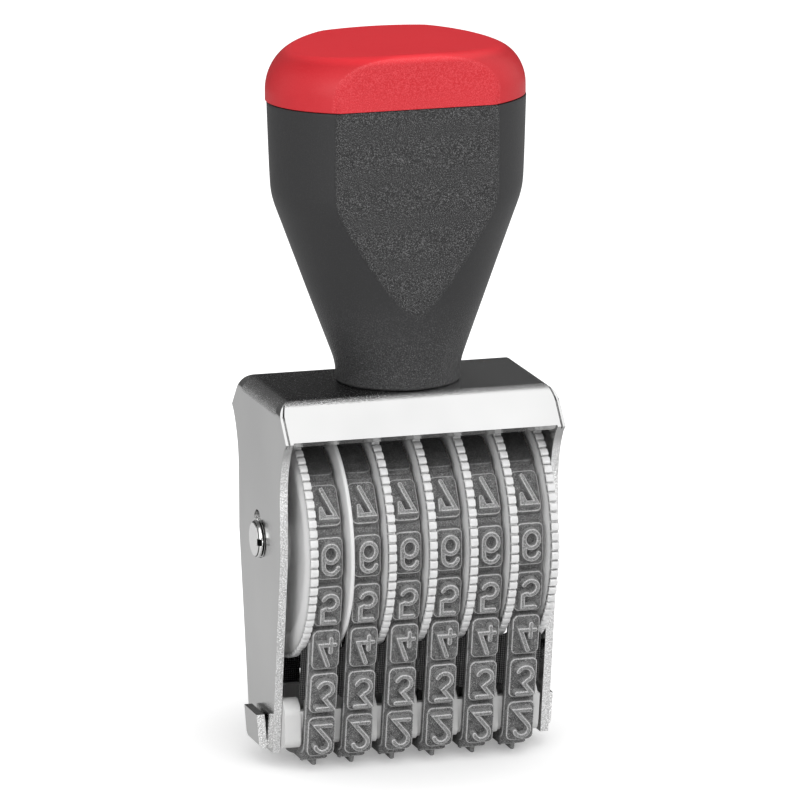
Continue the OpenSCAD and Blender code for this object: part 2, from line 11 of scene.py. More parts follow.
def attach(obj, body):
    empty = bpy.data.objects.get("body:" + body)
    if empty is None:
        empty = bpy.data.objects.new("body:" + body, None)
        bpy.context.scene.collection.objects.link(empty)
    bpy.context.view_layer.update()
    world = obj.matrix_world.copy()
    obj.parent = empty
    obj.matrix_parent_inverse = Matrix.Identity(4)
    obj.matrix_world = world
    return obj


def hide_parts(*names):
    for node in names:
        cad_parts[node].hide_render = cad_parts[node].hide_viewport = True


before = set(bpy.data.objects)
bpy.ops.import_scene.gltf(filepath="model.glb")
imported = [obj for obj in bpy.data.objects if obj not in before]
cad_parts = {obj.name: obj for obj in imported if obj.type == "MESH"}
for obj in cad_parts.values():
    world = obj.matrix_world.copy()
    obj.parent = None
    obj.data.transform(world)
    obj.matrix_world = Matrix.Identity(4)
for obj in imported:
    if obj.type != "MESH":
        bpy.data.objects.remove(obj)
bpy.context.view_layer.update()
mm = 0.001


def placed(name, data):
    # a new object in the scene, at the origin
    made = bpy.data.objects.new(name, data)
    bpy.context.scene.collection.objects.link(made)
    return made


shot = {
    "azimuth": 16.476, "elevation": 12.652, "roll": 0.236,  # degrees
    "distance": 1344.39, "aim": (0, 0, 54.1),  # mm
    "pixelsPerMm": 6.75, "centreX": -2.289, "centreY": -5.463, "picture": 800,
}


def placeCamera(s):
    a, e, roll = (math.radians(s[k]) for k in ("azimuth", "elevation", "roll"))
    ahead = Vector((math.sin(a) * math.cos(e), math.cos(a) * math.cos(e), -math.sin(e)))
    right = Vector((math.cos(a), -math.sin(a), 0))
    up = Vector((math.sin(a) * math.sin(e), math.cos(a) * math.sin(e), math.cos(e)))
    camRight = right * math.cos(roll) - up * math.sin(roll)
    camUp = right * math.sin(roll) + up * math.cos(roll)
    turn = Matrix((camRight, camUp, -ahead)).transposed().to_4x4()
    cam = bpy.data.cameras.new("pictureCamera")
    cam.sensor_width = 36
    cam.lens = 36 * s["distance"] * s["pixelsPerMm"] / s["picture"]
    cam.shift_x = -s["centreX"] / s["picture"]
    cam.shift_y = s["centreY"] / s["picture"]
    cam.clip_start, cam.clip_end = 0.01, 50
    holder = placed("pictureCamera", cam)
    holder.matrix_world = Matrix.Translation((Vector(s["aim"]) - ahead * s["distance"]) * mm) @ turn
    bpy.context.scene.camera = holder


placeCamera(shot)
print("camera placed")


def feed(tree, socket, value):
    # a link or a value for one input
    if isinstance(value, Wire):
        value = value.socket
    if isinstance(value, bpy.types.NodeSocket):
        tree.links.new(value, socket)
    elif value is not None:
        isColour = hasattr(socket.default_value, "__len__") and len(socket.default_value) == 4
        socket.default_value = (*value, 1) if isColour and len(value) == 3 else value


def newNode(tree, kind, settings=None, *values, **named):
    # one node: its settings first, then its inputs, by place or by name
    made = tree.nodes.new(kind)
    for key, value in (settings or {}).items():
        setattr(made, key, value)
    inputs = [i for i in made.inputs if i.enabled]
    for socket, value in zip(inputs, values):
        feed(tree, socket, value)
    for key, value in named.items():
        feed(tree, next(i for i in inputs if i.name == key.replace("_", " ")), value)
    return made


class Wire:
    # one output socket; arithmetic on it adds Math nodes
    def __init__(self, finish, socket):
        self.finish, self.socket = finish, socket

    def math(self, operation, *others):
        return self.finish.node("Math", {"operation": operation}, self, *others)

    def __add__(self, other):
        return self.math("ADD", other)

    def __sub__(self, other):
        return self.math("SUBTRACT", other)

    def __mul__(self, other):
        return self.math("MULTIPLY", other)

    def __rsub__(self, other):
        return self.finish.node("Math", {"operation": "SUBTRACT"}, other, self)

    __radd__ = __add__
    __rmul__ = __mul__

    def step(self, low, high):
        return self.finish.node("MapRange", {"interpolation_type": "SMOOTHSTEP"}, self, low, high, 0, 1)

    def rise(self, reach):
        # from 0 to 1 between two places in mm
        return self.step(reach[0] * mm, reach[1] * mm)


class Finish:
    # one material, built from node calls
    def __init__(self, name):
        self.material = bpy.data.materials.new(name)
        self.material.use_nodes = True
        self.tree = self.material.node_tree
        self.tree.nodes.clear()
        self.shader = newNode(self.tree, "ShaderNodeBsdfPrincipled")
        self.ending = newNode(self.tree, "ShaderNodeOutputMaterial", {}, self.shader.outputs[0])
        self.place = self.node("TexCoord", out="Object")

    def node(self, kind, settings=None, *values, out=0, **named):
        made = newNode(self.tree, "ShaderNode" + kind, settings, *values, **named)
        found = made.outputs[out] if isinstance(out, int) else next(
            o for o in made.outputs if o.enabled and o.name == out)
        return Wire(self, found)

    def mix(self, share, first, second):
        return self.node("Mix", {"data_type": "RGBA"}, share, first, second, out="Result")

    def noise(self, scale, detail=2.0, rough=0.5, stretch=None):
        where = self.place
        if stretch:
            where = self.node("Mapping", {}, where, Scale=stretch)
        return self.node("TexNoise", {}, Vector=where, Scale=scale, Detail=detail, Roughness=rough)

    def axes(self):
        split = self.node("SeparateXYZ", {}, self.place).socket.node
        return [Wire(self, split.outputs[i]) for i in range(3)]

    def attribute(self, name):
        return self.node("Attribute", {"attribute_name": name}, out="Fac")

    def bump(self, height, distance, strength=1.0):
        return self.node("Bump", {}, Strength=strength, Distance=distance, Height=height)

    def surface(self, **sockets):
        for key, value in sockets.items():
            feed(self.tree, self.shader.inputs[key.replace("_", " ")], value)
        return self.material


def newMesh(name, points, faces, *materials):
    mesh = bpy.data.meshes.new(name)
    mesh.from_pydata([Vector(p) * mm for p in points], [], faces)
    for m in materials:
        mesh.materials.append(m)
    return mesh


def newPiece(name, points, faces, material, smoothAngle=35):
    mesh = newMesh(name, points, faces, material)
    mesh.validate()
    tidyNormals(mesh, smoothAngle, merge=True)
    return placed(name, mesh)


@contextlib.contextmanager
def reworked(mesh, smoothAngle):
    # the mesh opened for work, then smooth but for edges sharper than the angle
    work = bmesh.new()
    work.from_mesh(mesh)
    yield work
    work.to_mesh(mesh)
    work.free()
    smooth(mesh, smoothAngle)


def paint(mesh, material):
    mesh.materials.clear()
    mesh.materials.append(material)


def smooth(mesh, angle):
    mesh.shade_smooth()
    mesh.set_sharp_from_angle(angle=math.radians(angle))


def tidyNormals(mesh, smoothAngle, merge=False):
    # faces turned outwards
    with reworked(mesh, smoothAngle) as work:
        if merge:
            bmesh.ops.remove_doubles(work, verts=work.verts, dist=1e-7)
        bmesh.ops.recalc_face_normals(work, faces=work.faces)


def joined(name, meshes, *materials):
    work = bmesh.new()
    for mesh in meshes:
        work.from_mesh(mesh)
    whole = newMesh(name, [], [], *materials)
    work.to_mesh(whole)
    work.free()
    return whole


def settle(piece):
    # replace a piece's mesh with what its modifiers make of it
    graph = bpy.context.evaluated_depsgraph_get()
    made = bpy.data.meshes.new_from_object(piece.evaluated_get(graph), depsgraph=graph)
    made.name = piece.name
    piece.modifiers.clear()
    piece.data = made
    return piece


def modify(piece, name, kind, **settings):
    made = piece.modifiers.new(name, kind)
    for key, value in settings.items():
        setattr(made, key, value)
    return made


def grown(piece, name, tree, **inputs):
    # a piece as a geometry tree makes it from these inputs
    modifier = modify(piece, name, "NODES", node_group=tree)
    for item in tree.interface.items_tree:
        key = item.name.replace(" ", "_")
        if key in inputs:
            modifier[item.identifier] = inputs[key]
    return settle(piece)


softSizes = {"merge": 0.002, "level": 0.4, "sharp": 30, "bend": 28}  # mm, then degrees


def softened(node, name, width, material, segments=2):
    # a copy of a plain CAD solid with rounded edges
    s = softSizes
    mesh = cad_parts[node].data.copy()
    mesh.name = name
    with reworked(mesh, s["sharp"]) as work:
        bmesh.ops.remove_doubles(work, verts=work.verts, dist=s["merge"] * mm)
        level = math.radians(s["level"])
        bmesh.ops.dissolve_limit(work, angle_limit=level, verts=work.verts, edges=work.edges)
    paint(mesh, material)
    piece = placed(name, mesh)
    modify(piece, "edges", "BEVEL", width=width * mm, segments=segments, limit_method="ANGLE",
           angle_limit=math.radians(s["bend"]), harden_normals=True, use_clamp_overlap=True)
    return settle(piece)


def fullTurn(count):
    return [2 * math.pi * i / count for i in range(count)]


def shifted(faces, start):
    return [tuple(start + i for i in f) for f in faces]


def tubeFaces(count, size):
    # between outlines of this size, the last joined to the first
    return [(i * size + k, i * size + (k + 1) % size, j * size + (k + 1) % size, j * size + k)
            for i, j in zip(range(count), [*range(1, count), 0]) for k in range(size)]


def ringFaces(size, count):
    # between outlines of this size, with a face over the first and the last
    whole = size * count
    ends = [tuple(range(size - 1, -1, -1)), tuple(range(whole - size, whole))]
    return tubeFaces(count, size)[:-size] + ends


def blendRows(rows, at):
    # smooth reading of a table of rows sorted by their first number
    xs = [r[0] for r in rows]
    if at <= xs[0]:
        return rows[0][1:]
    if at >= xs[-1]:
        return rows[-1][1:]
    i = max(k for k in range(len(xs) - 1) if xs[k] <= at)
    span = xs[i + 1] - xs[i]
    t = (at - xs[i]) / span
    out = []
    for c in range(1, len(rows[0])):
        p1, p2 = rows[i][c], rows[i + 1][c]
        before = after = p2 - p1
        if i > 0:
            before = (p2 - rows[i - 1][c]) / (xs[i + 1] - xs[i - 1]) * span
        if i + 2 < len(rows):
            after = (rows[i + 2][c] - p1) / (xs[i + 2] - xs[i]) * span
        out.append((2 * t**3 - 3 * t**2 + 1) * p1 + (t**3 - 2 * t**2 + t) * before
                   + (3 * t**2 - 2 * t**3) * p2 + (t**3 - t**2) * after)
    return out


def grey(level):
    return level, level, level


def leatherGrain(finish, share, size, height):
    # fine moulded grain; share fades it out
    cells = finish.node("TexVoronoi", {"feature": "SMOOTH_F1"}, Vector=finish.place, Scale=1 / (size * mm),
                        Smoothness=0.6)
    fine = finish.noise(1 / (size * 0.6 * mm), 3, 0.6)
    return finish.bump((cells * 0.6 + fine * 0.7) * share, height * mm)


def facetShare(finish, sizes):
    # 1 on the flat front and back, 0 on the rounded sides
    _, y, z = finish.axes()
    slope = (sizes["facetHigh"] - sizes["facetLow"]) / (sizes["facetTop"] - sizes["frameTop"])
    face = z * slope + (sizes["facetLow"] - slope * sizes["frameTop"]) * mm
    return (y.math("ABSOLUTE") - face).rise(sizes["facetEdge"])


gripSizes = {
    "frameTop": 56.63, "seamZ": 99.13, "facetTop": 109.93, "facetLow": 10.18, "facetHigh": 11.4, "soft": 0.45,
    "facetEdge": (-0.35, -0.12), "grainFoot": (60, 72), "around": 288, "firstRing": 0.3, "ringStep": 0.42,
    # height, half width, half depth before the facets cut it
    "body": [(56.63, 9.25, 9.25), (58.3, 9.27, 9.25), (59.3, 9.42, 9.3), (60.2, 9.66, 9.36),
             (61.0, 9.94, 9.42), (62.0, 10.32, 9.5), (66.0, 11.85, 9.95), (70.0, 13.38, 10.5),
             (74.0, 14.86, 11.35), (78.0, 16.34, 12.35), (81.0, 17.44, 13.2), (83.0, 18.19, 13.75),
             (84.0, 18.53, 13.95), (85.0, 18.79, 14.05), (86.0, 18.96, 14.1), (87.5, 19.07, 14.12),
             (92.0, 19.26, 14.15), (99.13, 19.5, 14.2)],
    "foot": [(0.02, 8.6), (0.06, 9.05)],  # height above the frame, radius
    "head": [(0.28, 0), (0.12, 0.03)],  # depth below the seam, inset
    "lid": (0.03, 0.985, 0.98),  # depth below the seam, shares of width and depth
}

capSizes = {
    "centreX": -0.15, "halfWidth": 19.55, "halfDepth": 14.5, "top": 107.45, "archR": 135.0, "fall": 0.019,
    "lid": ((0.985, 0.02), (1, 0.14)),  # share of the side, height above the seam
    "roundWide": 4.4, "roundFront": 4.2, "roundBack": 1.6, "roundHeight": 5.4, "roundSteps": 24,
    # the last entry gives the heights over which the red turns lighter: a painted highlight
    "topSteps": 18, "innermost": 0.04, "soft": 0.3, "highlightFrom": (105.7, 106.8),
    "browFront": 1.0, "browBack": 0.25,  # roundings between the flat front or back and the top
}


plateZones = {
    # mm over which each zone of the plating begins: in height, to the side, and to the front at the last; the
    # zones of the side plates' fade, the cut edges, the flat top and its right part carry painted shading and
    # painted reflection
    "plate": (6, 52), "edgeEnd": (50, 52), "bendFoot": (53.9, 54.8), "lipBend": (55.6, 56.1),
    "top": (56.3, 56.6), "bendSide": (18.9, 19.6), "smoothRight": (-16, 14), "paintedReflectionRight": (-10, 16),
    "bendEnd": (8.4, 9.4),
}

axleZones = {"axleZ": 33.7, "core": (2.6, 2.72), "groove": (21.4, 21.45), "tip": (22.26, 22.32)}

rubberZones = {"shadedUnused": (44.2, 45.4), "spot": 0.8, "thread": 0.62}


def charcoalPlastic(s):
    f = Finish("charcoalPlastic")
    # the rounded sides are painted darker than the flat front and back: painted shade
    side, facet, fleck = (0.025, 0.025, 0.026), (0.038, 0.038, 0.039), (0.2, 0.2, 0.202)
    flat = facetShare(f, s)
    low = 1 - f.axes()[2].rise(s["grainFoot"])
    share = flat * 0.85 + low * 0.5 + 0.05
    wear = f.noise(90, 3, 0.6)
    speck = f.noise(6500, 2, 0.75)
    deep = f.mix((1 - speck.step(0.36, 0.5)) * share, f.mix(flat, side, facet), grey(0.008))
    return f.surface(Base_Color=f.mix(speck.step(0.52, 0.66) * share, deep, fleck),
                     Roughness=wear * 0.12 + 0.42 - low * 0.14, Specular_IOR_Level=0.35,
                     Normal=leatherGrain(f, share, 0.26, 0.34))


def redPlastic(s, c):
    f = Finish("redPlastic")
    dark, light = (0.57, 0.012, 0.02), (0.61, 0.017, 0.026)
    crown, fleck = (0.82, 0.024, 0.036), (0.8, 0.085, 0.1)
    flat = facetShare(f, s)
    wear = f.noise(80, 3, 0.6)
    speck = f.noise(6000, 2, 0.75)
    warm = f.mix(wear.step(0.3, 0.75), dark, light)
    # from these heights up the red turns lighter: a painted highlight on the top and its rounding
    warm = f.mix(f.axes()[2].rise(c["highlightFrom"]), warm, crown)
    return f.surface(Base_Color=f.mix(speck.step(0.42, 0.68) * (flat * 0.6 + 0.1), warm, fleck),
                     Roughness=wear * 0.1 + 0.38, Specular_IOR_Level=0.4,
                     Normal=leatherGrain(f, flat * 0.9 + 0.2, 0.34, 0.05))


def nickelPlate(s):
    f = Finish("nickelPlate")
    upper, lower, white = grey(0.46), (0.64, 0.64, 0.635), grey(1)
    x, y, z = f.axes()
    rub = f.noise(220, 4, 0.6, stretch=(1, 3, 1))
    smudge = f.noise(60, 2, 0.5)
    fleck = f.noise(5200, 2, 0.8)
    pits = f.noise(2600, 3, 0.75)
    # darker towards the top of the side plates and lighter at their foot: painted shading, with the smudges
    # mixed in
    tone = f.mix(smudge.step(0.3, 0.8) * 0.3 + (1 - z.rise(s["plate"])) * 0.7, upper, lower)
    # the sheet's cut edges face forwards or backwards; low on the sheet they are painted lighter with white
    # flecks, a painted highlight
    facing = f.node("SeparateXYZ", {}, f.node("NewGeometry", out="Normal"), out="Y").math("ABSOLUTE")
    cutEdgeHighlight = facing.step(0.85, 0.95) * (1 - z.rise(s["edgeEnd"]))
    tone = f.mix(cutEdgeHighlight, tone, f.mix(fleck.step(0.4, 0.6), grey(0.62), white))
    # the flat top and its bends are grainy on the left and smooth on the right
    flat = z.rise(s["top"])
    sideBend = x.math("ABSOLUTE").rise(s["bendSide"]) * z.rise(s["bendFoot"])
    sideBend = sideBend * (1 - y.math("ABSOLUTE").rise(s["bendEnd"]))
    bends = sideBend.math("MAXIMUM", z.rise(s["lipBend"]))
    grain = bends * (1 - x.rise(s["smoothRight"]) * 0.8)
    # the flat top is painted dark, and lighter to white towards its right: painted reflection
    tone = f.mix(flat, tone, grey(0.16))
    tone = f.mix(flat * x.rise(s["paintedReflectionRight"]), tone, white)
    depth = (grain + cutEdgeHighlight) * (0.08 * mm) + 0.012 * mm
    return f.surface(Base_Color=f.mix(fleck.step(0.55, 0.72) * grain * 0.8, tone, white), Metallic=1.0,
                     Roughness=rub * 0.06 + 0.06 + bends * 0.08 + grain * fleck.step(0.5, 0.7) * 0.15,
                     Normal=f.bump(pits + fleck * 0.6, depth))


def brightSteel(s):
    f = Finish("brightSteel")
    x, y, z = f.axes()
    turned = f.noise(900, 3, 0.6, stretch=(6, 1, 1))
    tone = f.mix(turned, grey(0.8), (0.95, 0.95, 0.94))
    # painted shade: dark inside the groove and the notches of the axle's ends
    above = z - s["axleZ"] * mm
    radius = (y * y + above * above).math("SQRT")
    reach = x.math("ABSOLUTE")
    hollowShade = (1 - radius.rise(s["core"])) * reach.rise(s["groove"]) * (1 - reach.rise(s["tip"]))
    return f.surface(Base_Color=f.mix(hollowShade, tone, grey(0.015)), Metallic=1.0,
                     Roughness=turned * 0.15 + 0.15, Normal=f.bump(turned, 0.006 * mm, 0.6))


def palePlastic(name, dark, light, rough, through=0.0):
    f = Finish(name)
    wear = f.noise(140, 3, 0.55)
    return f.surface(Base_Color=f.mix(wear.step(0.3, 0.7), dark, light), Roughness=wear * 0.1 + rough,
                     Specular_IOR_Level=0.45, Subsurface_Weight=through, Subsurface_Radius=(1, 1, 1),
                     Subsurface_Scale=1.6 * mm, Normal=f.bump(f.noise(1500, 3, 0.6), 0.01 * mm, 0.5))


def greyRubber(s):
    f = Finish("greyRubber")
    # the unused tiles under the frame's top are painted darker, as painted shade, and lose their lighter rims
    shadedUnused = f.axes()[2].rise(s["shadedUnused"])
    wornAndLitRim = f.attribute("rim") * (1 - shadedUnused * 0.9)
    mottle = f.noise(900, 4, 0.7)
    dust = f.noise(6500, 2, 0.8)
    spots = f.node("TexVoronoi", {"feature": "F1"}, Vector=f.place, Scale=1 / (s["spot"] * mm))
    tone = f.mix(mottle.step(0.3, 0.7), grey(0.07), grey(0.17))
    tone = f.mix((1 - spots.step(0.03, 0.1)) * 0.6, tone, grey(0.4))
    # painted shade on the tiles under the frame's top
    tone = f.mix(shadedUnused * 0.7, tone, grey(0.025))
    # the rims turn light grey: partly wear, partly painted highlight on edges catching the light
    tone = f.mix(wornAndLitRim * 0.95, tone, grey(0.62))
    tone = f.mix((1 - dust.step(0.36, 0.5)) * 0.75, tone, grey(0.03))
    tone = f.mix(dust.step(0.53, 0.68) * (0.7 - shadedUnused * 0.5), tone, grey(0.5))
    return f.surface(Base_Color=tone, Roughness=mottle * 0.2 + 0.42, Specular_IOR_Level=0.4,
                     Normal=f.bump(f.noise(3600, 3, 0.7), 0.06 * mm))


def wovenBacking(s):
    f = Finish("wovenBacking")
    waves = 2 * math.pi / (s["thread"] * mm)
    across = (f.axes()[0] * waves).math("SINE")
    along = (f.attribute("run") * waves).math("SINE")
    weave = across.math("ABSOLUTE") * along.math("ABSOLUTE")
    checker = (across * along).step(-0.2, 0.2)
    return f.surface(Base_Color=f.mix(weave.step(0.1, 0.7), grey(0.01), grey(0.12)), Roughness=0.85,
                     Specular_IOR_Level=0.2, Normal=f.bump(weave + checker * 0.4, 0.12 * mm))


gripFinish = charcoalPlastic(gripSizes)
capFinish = redPlastic(gripSizes, capSizes)
nickelFinish = nickelPlate(plateZones)
steelFinish = brightSteel(axleZones)
wheelFinish = palePlastic("whiteWheelPlastic", (0.91, 0.91, 0.905), (0.96, 0.96, 0.955), 0.3, 1.0)
bridgeFinish = palePlastic("paleBridgePlastic", (0.66, 0.66, 0.655), (0.72, 0.72, 0.715), 0.35)
separatorFinish = palePlastic("greySeparatorPlastic", grey(0.7), grey(0.78), 0.28, 0.8)
rubberFinish = greyRubber(rubberZones)
fabricFinish = wovenBacking(rubberZones)
print("finishes made")


def softMin(value, limit, soft):
    h = max(0.0, min(1.0, 0.5 + 0.5 * (limit - value) / soft))
    return value * h + limit * (1 - h) - soft * h * (1 - h)


def onFacet(y, z, s):
    # a depth held inside the flat front and back
    share = (z - s["frameTop"]) / (s["facetTop"] - s["frameTop"])
    facet = s["facetLow"] + (s["facetHigh"] - s["facetLow"]) * share
    return math.copysign(softMin(abs(y), facet, s["soft"]), y) if abs(y) > 1e-9 else 0.0


def ovalRing(z, wide, deep, s):
    return [(wide * math.cos(a), onFacet(deep * math.sin(a), z, s), z) for a in fullTurn(s["around"])]


def buildGrip(s):
    wide, deep = s["body"][-1][1:]
    rings = [ovalRing(s["frameTop"] + up, radius, radius, s) for up, radius in s["foot"]]
    z = s["frameTop"] + s["firstRing"]
    while z < s["seamZ"] - s["firstRing"]:
        rings.append(ovalRing(z, *blendRows(s["body"], z), s))
        z += s["ringStep"]
    rings += [ovalRing(s["seamZ"] - down, wide - inset, deep - inset, s) for down, inset in s["head"]]
    down, across, along = s["lid"]
    lid = ovalRing(s["seamZ"], wide, deep, s)
    rings.append([(x * across, y * along, s["seamZ"] - down) for x, y, _ in lid])
    return newPiece("gripBody", sum(rings, []), ringFaces(s["around"], len(rings)), gripFinish)


def buildCap(s, c):
    # an upright side, a rounding set in from it, then a nearly flat top that falls a little to the front
    def brow(y, drop):
        # how far the flat front or back rolls in, this far below the top
        size = c["browFront"] if y < 0 else c["browBack"]
        return size * (1 - math.sqrt(1 - max(0.0, 1 - drop / size)**2))

    def crown(x, y):
        return c["top"] - x**2 / (2 * c["archR"]) + c["fall"] * y

    def ring(inward, drop, share=1):
        out = []
        for a in fullTurn(s["around"]):
            inset = c["roundFront"] if a > math.pi else c["roundBack"]
            x = share * (c["halfWidth"] - c["roundWide"] * inward) * math.cos(a)
            y = share * (c["halfDepth"] - inset * inward) * math.sin(a)
            z = crown(x, y) - drop
            limit = onFacet(math.copysign(99, y), z, s)
            held = softMin(abs(y), abs(limit) - brow(y, drop), c["soft"])
            out.append((x + c["centreX"], math.copysign(min(abs(y), held), y), z))
        return out

    rings = [[(x, y, s["seamZ"] + lift) for x, y, _ in ring(0, c["top"] - s["seamZ"], share)]
             for share, lift in c["lid"]]
    for b in np.linspace(0, math.pi / 2, c["roundSteps"]):
        rings.append(ring(1 - math.cos(b), c["roundHeight"] * (1 - math.sin(b))))
    edge = rings[-1]
    for share in np.linspace(1, c["innermost"], c["topSteps"])[1:]:
        level = [(share * (x - c["centreX"]), share * y) for x, y, _ in edge]
        rings.append([(c["centreX"] + x, y, crown(x, y)) for x, y in level])
    return newPiece("gripCap", sum(rings, []), ringFaces(s["around"], len(rings)), capFinish)


grip = buildGrip(gripSizes)
cap = buildCap(gripSizes, capSizes)
print("grip made")


sheetSizes = {
    "top": 56.63, "outside": 21.43, "bend": 2.5, "plainBend": 1.5, "cuts": 12,
    "slitX": 20.87, "slitWide": 0.3, "slitDeep": 1.0, "lipTop": (9.75, 56.63), "lipFoot": (14.8, 51.03),
    "slitFrom": 0.1, "slitTo": 1.05, "sharp": 34,
}


def cutSlits(sheet, s):
    # a narrow slit at each end of both lips, from the bend to the lip's foot
    (y0, z0), (y1, z1) = s["lipTop"], s["lipFoot"]
    length = math.hypot(y1 - y0, z1 - z0)
    along = Vector((0, (y1 - y0) / length, (z1 - z0) / length))
    out = Vector((0, -along.z, along.y))
    box = ((0, 1, 3, 2), (4, 6, 7, 5), (0, 4, 5, 1), (2, 3, 7, 6), (0, 2, 6, 4), (1, 5, 7, 3))
    points, faces = [], []
    for side in (-1, 1):
        for front in (-1, 1):
            start = len(points)
            for share in (s["slitFrom"], s["slitTo"]):
                for x in (-1, 1):
                    for depth in (-s["slitDeep"], 1):
                        q = Vector((0, y0, z0)) + along * length * share + out * depth
                        points.append((side * s["slitX"] + x * s["slitWide"] / 2, front * q.y, q.z))
            faces += shifted(box, start)
    cutter = newPiece("slitCutter", points, faces, nickelFinish)
    modify(sheet, "slits", "BOOLEAN", operation="DIFFERENCE", solver="EXACT", object=cutter)
    settle(sheet)
    bpy.data.objects.remove(cutter)


def easeBends(sheet, s):
    # the long bends between the flat top and the side plates, widened to their full outside radius
    middle, level, narrow = s["outside"] - s["bend"], s["top"] - s["bend"], s["bend"] - s["plainBend"]
    with reworked(sheet.data, s["sharp"]) as work:
        for t in np.linspace(0, math.pi / 2, s["cuts"])[:-1]:
            whole = work.verts[:] + work.edges[:] + work.faces[:]
            height = (level + s["bend"] * math.sin(t)) * mm
            bmesh.ops.bisect_plane(work, geom=whole, plane_co=(0, 0, height), plane_no=(0, 0, 1), dist=1e-6)
        for v in work.verts:
            beside, above = abs(v.co.x) / mm - middle, v.co.z / mm - level
            if beside > 0 and above > 0:
                reach = math.sqrt(max(0.0, s["bend"]**2 - above**2))
                plain = narrow + math.sqrt(max(0.0, s["plainBend"]**2 - max(0.0, above - narrow)**2))
                v.co.x = math.copysign((middle + beside * reach / plain) * mm, v.co.x)
        bmesh.ops.remove_doubles(work, verts=work.verts, dist=2e-6)
        bmesh.ops.dissolve_degenerate(work, edges=work.edges, dist=1e-6)
    modify(sheet, "flatFaces", "WEIGHTED_NORMAL", keep_sharp=True)
    settle(sheet)


sheet = softened("frame_shell", "sheetFrame", 0.14, nickelFinish)
cutSlits(sheet, sheetSizes)
easeBends(sheet, sheetSizes)
pin = softened("axle", "axlePin", 0.1, steelFinish)
bridge = softened("bridge", "bandBridge", 0.22, bridgeFinish, segments=3)

turnedSizes = {"axleZ": 33.7, "around": 192}


def aboutAxle(x, r, a, s):
    # the point at radius r and turn a, counted from the front upwards
    return x, -r * math.cos(a), s["axleZ"] + r * math.sin(a)


def lathe(name, profile, s, material, smoothAngle=35):
    # profile: (x, radius) points of a closed outline, turned about the axle
    points = [aboutAxle(x, r, a, s) for a in fullTurn(s["around"]) for x, r in profile]
    return newPiece(name, points, tubeFaces(s["around"], len(profile)), material, smoothAngle)


separatorSizes = {"left": -12.32, "right": -11.72, "outer": 17.4, "bore": 2.9, "round": 0.26,
                  "rimPoints": 9, "sharp": 40}


def buildSeparator(s):
    mid, half = (s["left"] + s["right"]) / 2, (s["right"] - s["left"]) / 2
    rim = [(mid + half * math.cos(a), s["outer"] - s["round"] + s["round"] * math.sin(a))
           for a in np.linspace(0, math.pi, s["rimPoints"])]
    profile = [(s["right"], s["bore"])] + rim + [(s["left"], s["bore"])]
    return lathe("bandSeparator", profile, turnedSizes, separatorFinish, s["sharp"])


divider = buildSeparator(separatorSizes)
print("frame parts made")


bandSizes = {
    "width": 4.55, "thick": 1.1, "edge": 0.14, "axleZ": 33.7, "hubSides": 12, "hubBend": 1.5, "bendStep": 6,
    "midFlat": 13.35, "noseHalf": 6.4, "cornerR": 1.95, "cornerZ": 4.8, "free": 10, "frontDigits": 7,
    "centres": (-15.04, -9.24, -2.99, 3.26, 9.51, 15.76), "sharp": 35, "stripSharp": 40, "rubberSharp": 32,
    "tileHeight": 1.2, "tileLength": 6.3, "tileWidth": 4.15, "tileCorner": 0.9, "tileEdge": 0.14,
    "tileDraft": 0.1, "tileFoot": 0.05, "tileBelly": 0.02, "tileRound": 0.35, "tilePoints": 8,
    "digitHeight": 1.1, "digitSize": 5.0, "digitWidth": 3.0, "stroke": 0.62, "digitEdge": 0.12,
    "digitDraft": 0.13, "digitFoot": 0.03, "digitBelly": 0.02, "digitSink": 0.2, "digitInset": 0.13,
    "crossing": 0.012, "arcPoints": 14, "ringPoints": 36, "endTurns": (0.45, 0.9, 1.3, 1.5),
    # wear and painted highlight of a digit's foot, walls, edge and top, of a tile's wall and edge, of a
    # band's sides and edge
    "digitWear": (0, 0.35, 1, 0.25), "tileWearAndHighlight": (0.15, 0.9), "bandWearAndHighlight": (0.1, 0.8),
    # panels of woven backing wider than the rubber: a dark sheet standing in for the shade between the bands
    "backZ": (10.9, 19.25), "backRows": 36, "backTaper": 0.4, "backHalf": 3.08, "backDepth": (0.57, 0.3),
    "backInset": 0.1, "backGap": 0.04,
}


def bandPath(s):
    # lean of the straight runs, length of a corner and pitch of the tiles, on the band's middle layer
    half = math.pi / s["hubSides"]
    leaveY, leaveZ = s["midFlat"], s["axleZ"] - s["midFlat"] * math.tan(half)
    span = math.hypot(leaveY - s["noseHalf"], leaveZ - s["cornerZ"])
    lean = math.atan2(leaveY - s["noseHalf"], leaveZ - s["cornerZ"]) - math.asin(s["cornerR"] / span)
    straight = math.sqrt(span**2 - s["cornerR"]**2)
    corner = s["cornerR"] * (math.pi / 2 - lean)
    pitch = 2 * (s["noseHalf"] + corner + straight) / s["free"]
    return {"half": half, "lean": lean, "corner": corner, "pitch": pitch}


path = bandPath(bandSizes)


def tilePose(i, s, p):
    # y, z and facing angle of position i, counted up the front, over the wheel and down the back
    r, lean, wheel = s["cornerR"], p["lean"], s["hubSides"] // 2 + 1
    if i >= s["free"] // 2 + wheel:
        y, z, a = tilePose(s["free"] + wheel - 1 - i, s, p)
        return -y, z, math.pi - a
    if i >= s["free"] // 2:
        a = (i - s["free"] // 2) * 2 * p["half"]
        return -s["midFlat"] * math.cos(a), s["axleZ"] + s["midFlat"] * math.sin(a), a
    run = (i + 0.5) * p["pitch"]
    if run < s["noseHalf"]:
        return -run, s["cornerZ"] - r, -math.pi / 2
    run -= s["noseHalf"]
    if run < p["corner"]:
        turn = run / r
        return -s["noseHalf"] - r * math.sin(turn), s["cornerZ"] - r * math.cos(turn), turn - math.pi / 2
    run -= p["corner"]
    return (-s["noseHalf"] - r * math.cos(lean) - run * math.sin(lean),
            s["cornerZ"] - r * math.sin(lean) + run * math.cos(lean), -lean)


